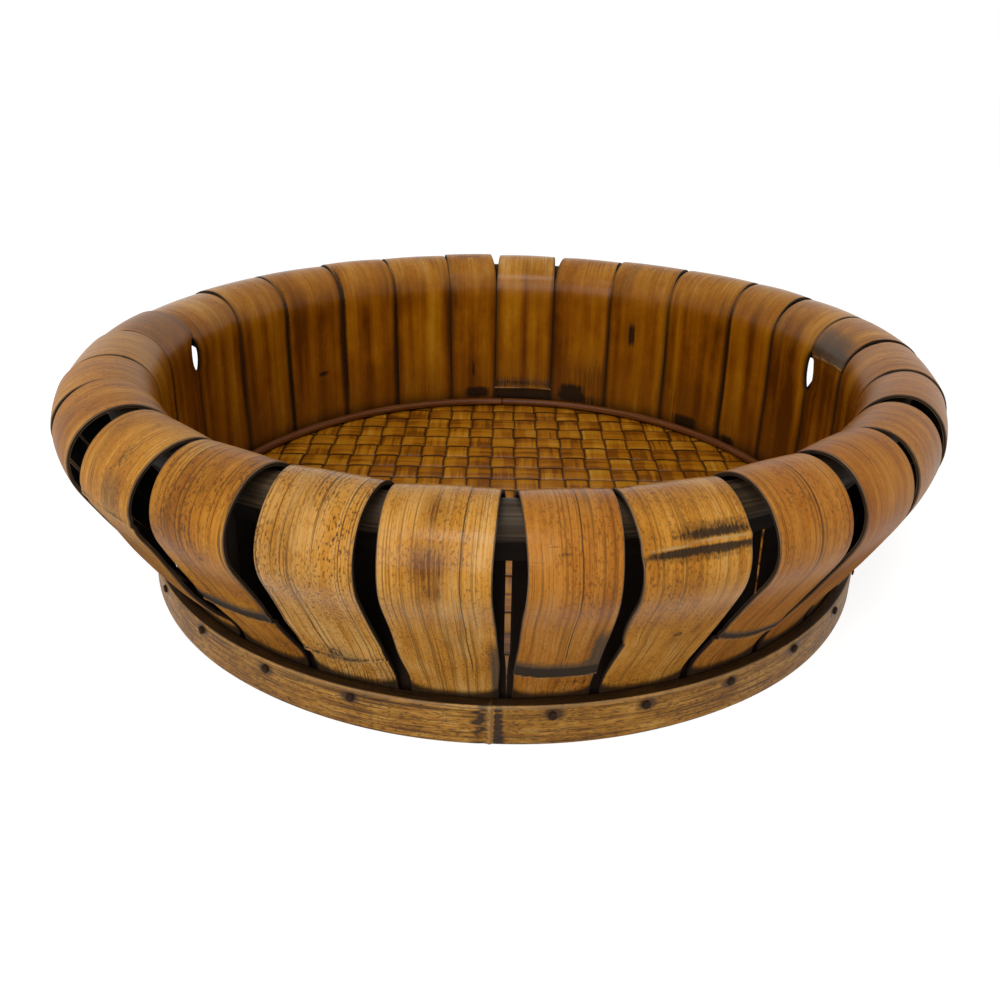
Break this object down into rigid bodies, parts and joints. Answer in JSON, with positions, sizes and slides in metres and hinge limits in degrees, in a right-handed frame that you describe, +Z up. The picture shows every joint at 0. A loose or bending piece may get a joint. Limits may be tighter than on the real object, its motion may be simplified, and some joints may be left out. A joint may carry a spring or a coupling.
{
  "type": "bamboo fruit tray",
  "caption": "Round shallow tray for fruit: split-bamboo staves folded over a rim core and nailed into a foot hoop round a woven bamboo floor.",
  "frame": {"origin": "on the ground at the centre of the foot hoop", "axes": "+Z up, -Y towards the front, where the foot hoop has its butt joint, +X to the right seen from the front"},
  "size_m": [0.3194, 0.3194, 0.0819],
  "materials": {
    "stave_bamboo": "satin lacquered bamboo skin",
    "foot_bamboo": "satin bamboo, grain along the hoop",
    "core_bamboo": "dark stained bamboo, matt",
    "floor_bamboo": "glossy amber woven strips",
    "trim_rattan": "satin reddish brown rattan",
    "nail_iron": "rusted wire nail"
  },
  "bodies": {
    "root": {"stave_01": "stave_bamboo", "stave_02": "stave_bamboo", "stave_03": "stave_bamboo", "stave_04": "stave_bamboo", "stave_05": "stave_bamboo", "stave_06": "stave_bamboo", "stave_07": "stave_bamboo", "stave_08": "stave_bamboo", "stave_09": "stave_bamboo", "stave_10": "stave_bamboo", "stave_11": "stave_bamboo", "stave_12": "stave_bamboo", "stave_13": "stave_bamboo", "stave_14": "stave_bamboo", "stave_15": "stave_bamboo", "stave_16": "stave_bamboo", "stave_17": "stave_bamboo", "stave_18": "stave_bamboo", "stave_19": "stave_bamboo", "stave_20": "stave_bamboo", "stave_21": "stave_bamboo", "stave_22": "stave_bamboo", "stave_23": "stave_bamboo", "stave_24": "stave_bamboo", "stave_25": "stave_bamboo", "stave_26": "stave_bamboo", "stave_27": "stave_bamboo", "stave_28": "stave_bamboo", "foot_nail_01": "nail_iron", "foot_nail_02": "nail_iron", "foot_nail_03": "nail_iron", "foot_nail_04": "nail_iron", "foot_nail_05": "nail_iron", "foot_nail_06": "nail_iron", "foot_nail_07": "nail_iron", "foot_nail_08": "nail_iron", "foot_nail_09": "nail_iron", "foot_nail_10": "nail_iron", "foot_nail_11": "nail_iron", "foot_nail_12": "nail_iron", "foot_nail_13": "nail_iron", "foot_nail_15": "nail_iron", "foot_nail_16": "nail_iron", "foot_nail_17": "nail_iron", "foot_nail_18": "nail_iron", "foot_nail_19": "nail_iron", "foot_nail_20": "nail_iron", "foot_nail_21": "nail_iron", "foot_nail_22": "nail_iron", "foot_nail_23": "nail_iron", "foot_nail_24": "nail_iron", "foot_nail_25": "nail_iron", "foot_nail_26": "nail_iron", "foot_nail_27": "nail_iron", "foot_hoop": "foot_bamboo", "foot_inner_hoop": "foot_bamboo", "floor_mat": "floor_bamboo", "floor_trim_hoop": "trim_rattan", "rim_core_hoop": "core_bamboo", "rim_band": "core_bamboo"}
  },
  "joints": []
}
